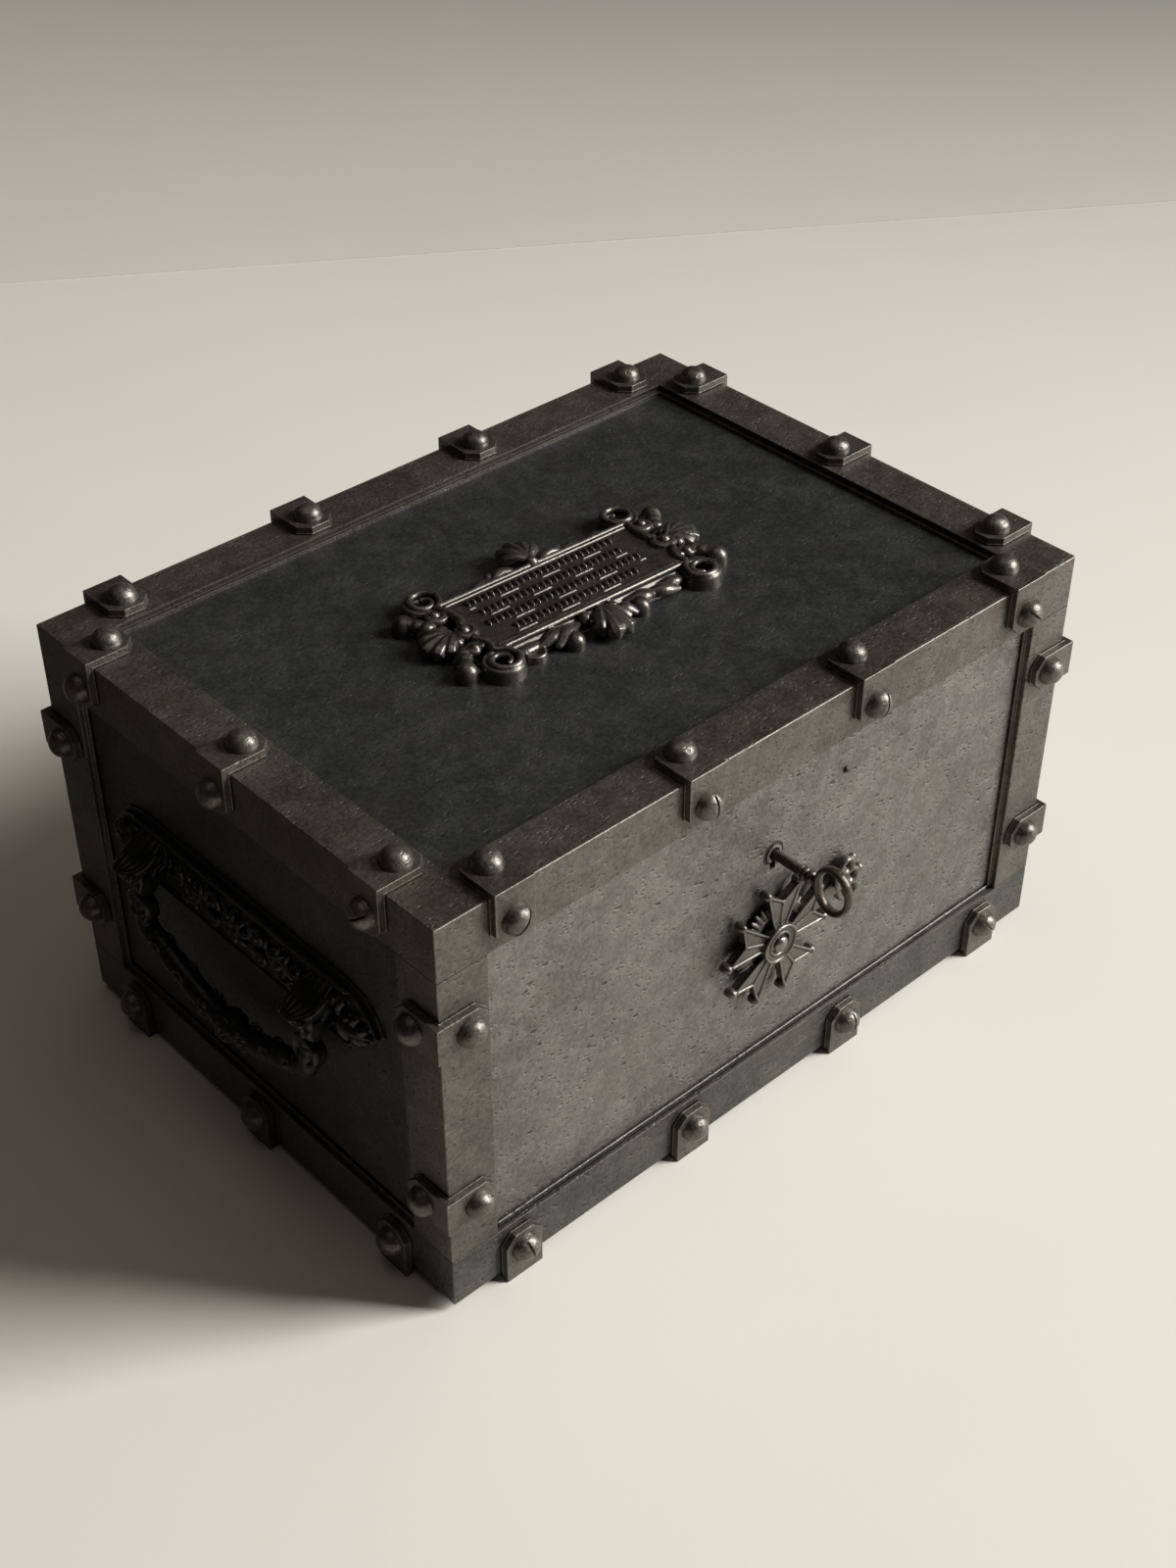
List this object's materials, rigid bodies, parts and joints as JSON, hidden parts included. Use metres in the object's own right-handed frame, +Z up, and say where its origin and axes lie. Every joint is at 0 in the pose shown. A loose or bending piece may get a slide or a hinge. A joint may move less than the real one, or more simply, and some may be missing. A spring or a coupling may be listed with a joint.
{
  "type": "iron strongbox",
  "caption": "Riveted iron strongbox with a hinged lid under an ornamental plaque, bail handles on its ends, and a lock whose keyhole hides behind a swivelling star.",
  "frame": {"origin": "centre of the bounding box in plan, on the surface that the box stands on", "axes": "+X along the front to the right, -Y out of the front with the keyhole, +Z up"},
  "size_m": [0.3336, 0.2558, 0.1784],
  "materials": {
    "frame_iron": "aged dark brown iron, worn bright along its edges",
    "clip_iron": "aged dark iron, rubbed bright on the round heads",
    "panel_iron": "pitted and mottled grey-brown iron",
    "lid_iron": "smooth blue-black iron with faint brown stains",
    "ornament_iron": "cast relief, dark in its hollows and rubbed bright on top",
    "handle_iron": "cast relief, dark with worn high points",
    "steel": "worn and lightly tarnished steel"
  },
  "bodies": {
    "case": {"case_walls": "panel_iron", "case_floor": "panel_iron", "base_frame": "frame_iron", "corner_post_front_left": "frame_iron", "corner_post_front_right": "frame_iron", "corner_post_back_right": "frame_iron", "corner_post_back_left": "frame_iron", "base_clip_front_1": "clip_iron", "base_clip_front_2": "clip_iron", "base_clip_front_3": "clip_iron", "base_clip_front_4": "clip_iron", "base_clip_back_1": "clip_iron", "base_clip_back_2": "clip_iron", "base_clip_back_3": "clip_iron", "base_clip_back_4": "clip_iron", "base_clip_left_1": "clip_iron", "base_clip_left_2": "clip_iron", "base_clip_left_3": "clip_iron", "base_clip_right_1": "clip_iron", "base_clip_right_2": "clip_iron", "base_clip_right_3": "clip_iron", "post_clip_front_left_low": "clip_iron", "post_clip_front_left_high": "clip_iron", "post_clip_front_right_low": "clip_iron", "post_clip_front_right_high": "clip_iron", "post_clip_back_left_low": "clip_iron", "post_clip_back_left_high": "clip_iron", "post_clip_back_right_low": "clip_iron", "post_clip_back_right_high": "clip_iron", "lock_case": "steel", "star_pin": "steel", "hinge_body_leaf": "steel", "hinge_pin": "steel", "left_handle_plate": "handle_iron", "right_handle_plate": "handle_iron"},
    "lid": {"lid_skirt": "frame_iron", "lid_border": "frame_iron", "lid_panel": "lid_iron", "lid_plaque": "ornament_iron", "lock_keeper": "steel", "hinge_lid_leaf": "steel", "lid_clip_front_1": "clip_iron", "lid_clip_front_2": "clip_iron", "lid_clip_front_3": "clip_iron", "lid_clip_front_4": "clip_iron", "lid_clip_back_1": "clip_iron", "lid_clip_back_2": "clip_iron", "lid_clip_back_3": "clip_iron", "lid_clip_back_4": "clip_iron", "lid_clip_left_1": "clip_iron", "lid_clip_left_2": "clip_iron", "lid_clip_left_3": "clip_iron", "lid_clip_right_1": "clip_iron", "lid_clip_right_2": "clip_iron", "lid_clip_right_3": "clip_iron"},
    "key": {"key": "steel"},
    "lock_bolt": {"lock_bolt": "steel"},
    "star": {"star_keyhole_cover": "ornament_iron"},
    "left_bail": {"left_bail": "handle_iron"},
    "right_bail": {"right_bail": "handle_iron"}
  },
  "joints": [
    {"name": "lid_hinge", "type": "hinge", "parent": "case", "child": "lid", "pos_m": [0, 0.1232, 0.15], "axis": [-1, 0, 0], "range_deg": [0, 100]},
    {"name": "key_turn", "type": "hinge", "parent": "case", "child": "key", "pos_m": [0, -0.0955, 0.114], "axis": [0, 1, 0], "range_deg": [0, 360]},
    {"name": "bolt_slide", "type": "slide", "parent": "case", "child": "lock_bolt", "axis": [1, 0, 0], "range_m": [0, 0.008]},
    {"name": "star_swivel", "type": "hinge", "parent": "case", "child": "star", "pos_m": [0, -0.092, 0.0765], "axis": [0, -1, 0], "range_deg": [-260, 55]},
    {"name": "left_bail_swing", "type": "hinge", "parent": "case", "child": "left_bail", "pos_m": [-0.158, 0.0125, 0.098], "axis": [0, 1, 0], "range_deg": [-8, 90]},
    {"name": "right_bail_swing", "type": "hinge", "parent": "case", "child": "right_bail", "pos_m": [0.158, 0.0125, 0.098], "axis": [0, -1, 0], "range_deg": [-8, 90]}
  ],
  "couplings": [
    {"joint": "key_turn", "follows": "bolt_slide", "rad_per_m": 785.4}
  ]
}
